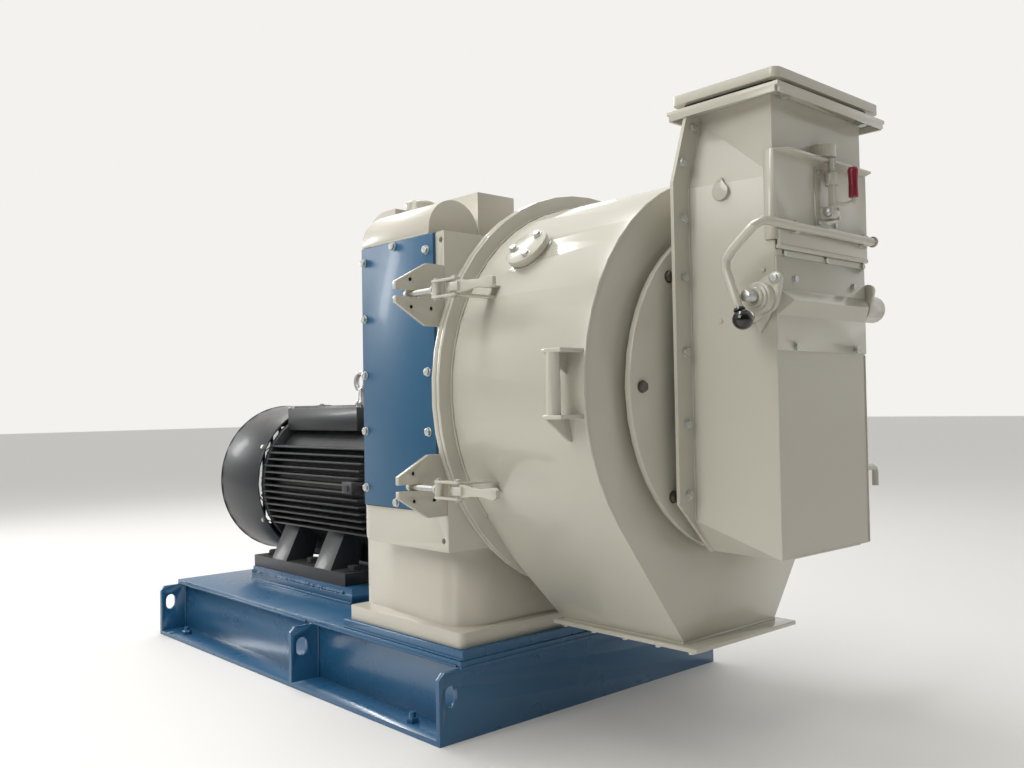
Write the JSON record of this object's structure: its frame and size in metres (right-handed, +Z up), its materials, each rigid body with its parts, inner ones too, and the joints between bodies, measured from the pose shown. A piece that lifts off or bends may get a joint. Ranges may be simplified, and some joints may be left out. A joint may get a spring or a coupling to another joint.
{
  "type": "hammer mill",
  "caption": "Hammer mill on a base frame: swing-out drum with a discharge hopper, front feed chute with a clean-out flap, toggle latches, belt-driven rotor and a finned motor.",
  "frame": {"origin": "on the floor, under the centre of the base frame", "axes": "+Z up; -Y towards the drum, chute and inlet; +Y towards the motor's fan cowl; -X is the side of the toggle latches, +X the side of the drum's hinge"},
  "size_m": [1.1724, 2.314, 1.39],
  "materials": {
    "blue_paint": "satin blue enamel",
    "cream_paint": "semi-gloss warm white enamel",
    "motor_paint": "satin dark grey enamel",
    "bare_steel": "machined",
    "dark_steel": "oiled, dark",
    "cast_iron": "as cast",
    "rubber": "matte",
    "knob_plastic": "gloss black",
    "grip_plastic": "satin dark red",
    "fan_plastic": "matte"
  },
  "bodies": {
    "frame": {"base_frame": "blue_paint", "base_deck": "blue_paint", "pedestal_pad": "blue_paint", "motor_rail_left": "blue_paint", "motor_rail_right": "blue_paint", "pedestal": "cream_paint", "housing_frame": "cream_paint", "side_panel_left": "blue_paint", "side_panel_right": "blue_paint", "hood": "cream_paint", "drive_case": "cream_paint", "belt_guard": "cream_paint", "back_plate": "cream_paint", "door_gasket": "rubber", "bearing_housing_front": "cast_iron", "bearing_housing_rear": "cast_iron", "latch_bracket_upper": "cream_paint", "latch_bracket_lower": "cream_paint", "door_hinge": "cream_paint", "screen": "bare_steel", "drive_belt": "rubber", "motor_frame": "motor_paint", "motor_end_shield": "motor_paint", "fan_cowl": "motor_paint", "terminal_box": "motor_paint", "lifting_eye": "bare_steel"},
    "rotor": {"mill_shaft": "bare_steel", "mill_pulley": "cast_iron", "rotor_spider": "dark_steel", "rotor_front_disc": "dark_steel"},
    "motor_rotor": {"motor_shaft": "bare_steel", "cooling_fan": "fan_plastic", "motor_pulley": "cast_iron"},
    "hammers_1": {"hammer_row_1": "bare_steel"},
    "hammers_2": {"hammer_row_2": "bare_steel"},
    "hammers_3": {"hammer_row_3": "bare_steel"},
    "hammers_4": {"hammer_row_4": "bare_steel"},
    "door": {"drum_casing": "cream_paint", "discharge_flange": "cream_paint", "cover_plate": "cream_paint", "port_cover": "cream_paint", "pull_handle": "cream_paint", "chute_body": "cream_paint", "inlet_flange": "cream_paint", "inlet_gasket": "rubber", "inlet_frame": "cream_paint", "ridge_cover": "cream_paint", "roller_bearing_left": "cream_paint", "roller_bearing_right": "cream_paint"},
    "magnet": {"magnet_roller": "bare_steel"},
    "flap": {"flap_panel": "cream_paint", "flap_bar": "cream_paint", "flap_knob": "knob_plastic"},
    "flap_latch": {"latch_lever": "cream_paint", "latch_grip": "grip_plastic"},
    "sight": {"sight_cover": "cream_paint"},
    "lever_upper": {"toggle_lever_upper": "cream_paint"},
    "link_upper": {"toggle_link_upper": "cream_paint"},
    "lever_lower": {"toggle_lever_lower": "cream_paint"},
    "link_lower": {"toggle_link_lower": "cream_paint"}
  },
  "joints": [
    {"name": "rotor_spin", "type": "hinge", "parent": "frame", "child": "rotor", "pos_m": [0, -0.671, 0.783], "axis": [0, 1, 0], "continuous": true},
    {"name": "motor_spin", "type": "hinge", "parent": "frame", "child": "motor_rotor", "pos_m": [0, 0.129, 0.501], "axis": [0, 1, 0], "continuous": true},
    {"name": "hammers_1_swing", "type": "hinge", "parent": "rotor", "child": "hammers_1", "pos_m": [0.16263, -0.971, 0.94563], "axis": [0, 1, 0], "range_deg": [-90, 90]},
    {"name": "hammers_2_swing", "type": "hinge", "parent": "rotor", "child": "hammers_2", "pos_m": [-0.16263, -0.971, 0.94563], "axis": [0, 1, 0], "range_deg": [-90, 90]},
    {"name": "hammers_3_swing", "type": "hinge", "parent": "rotor", "child": "hammers_3", "pos_m": [-0.16263, -0.971, 0.62037], "axis": [0, 1, 0], "range_deg": [-90, 90]},
    {"name": "hammers_4_swing", "type": "hinge", "parent": "rotor", "child": "hammers_4", "pos_m": [0.16263, -0.971, 0.62037], "axis": [0, 1, 0], "range_deg": [-90, 90]},
    {"name": "door_swing", "type": "hinge", "parent": "frame", "child": "door", "pos_m": [0.56, -0.761, 0.783], "axis": [0, 0, 1], "range_deg": [0, 110]},
    {"name": "magnet_spin", "type": "hinge", "parent": "door", "child": "magnet", "pos_m": [0, -1.411, 0.951], "axis": [1, 0, 0], "continuous": true},
    {"name": "flap_open", "type": "hinge", "parent": "door", "child": "flap", "pos_m": [0, -1.44, 1.05], "axis": [1, 0, 0], "range_deg": [0, 100]},
    {"name": "flap_latch_turn", "type": "hinge", "parent": "flap", "child": "flap_latch", "pos_m": [-0.003, -1.461, 1.13], "axis": [1, 0, 0], "range_deg": [0, 70]},
    {"name": "sight_cover_turn", "type": "hinge", "parent": "door", "child": "sight", "pos_m": [-0.196, -1.324, 1.196], "axis": [1, 0, 0], "range_deg": [-150, 0]},
    {"name": "lever_upper_turn", "type": "hinge", "parent": "door", "child": "lever_upper", "pos_m": [-0.518, -0.871, 1.001], "axis": [0, 0, 1], "range_deg": [-120, 0]},
    {"name": "link_upper_turn", "type": "hinge", "parent": "lever_upper", "child": "link_upper", "pos_m": [-0.54, -0.899, 1.001], "axis": [0, 0, 1], "range_deg": [0, 140]},
    {"name": "lever_lower_turn", "type": "hinge", "parent": "door", "child": "lever_lower", "pos_m": [-0.518, -0.871, 0.574], "axis": [0, 0, 1], "range_deg": [-120, 0]},
    {"name": "link_lower_turn", "type": "hinge", "parent": "lever_lower", "child": "link_lower", "pos_m": [-0.54, -0.899, 0.574], "axis": [0, 0, 1], "range_deg": [0, 140]}
  ],
  "couplings": [
    {"joint": "motor_spin", "follows": "rotor_spin", "ratio": 0.8},
    {"joint": "link_upper_turn", "follows": "lever_upper_turn", "ratio": -1.15},
    {"joint": "link_lower_turn", "follows": "lever_lower_turn", "ratio": -1.15}
  ]
}
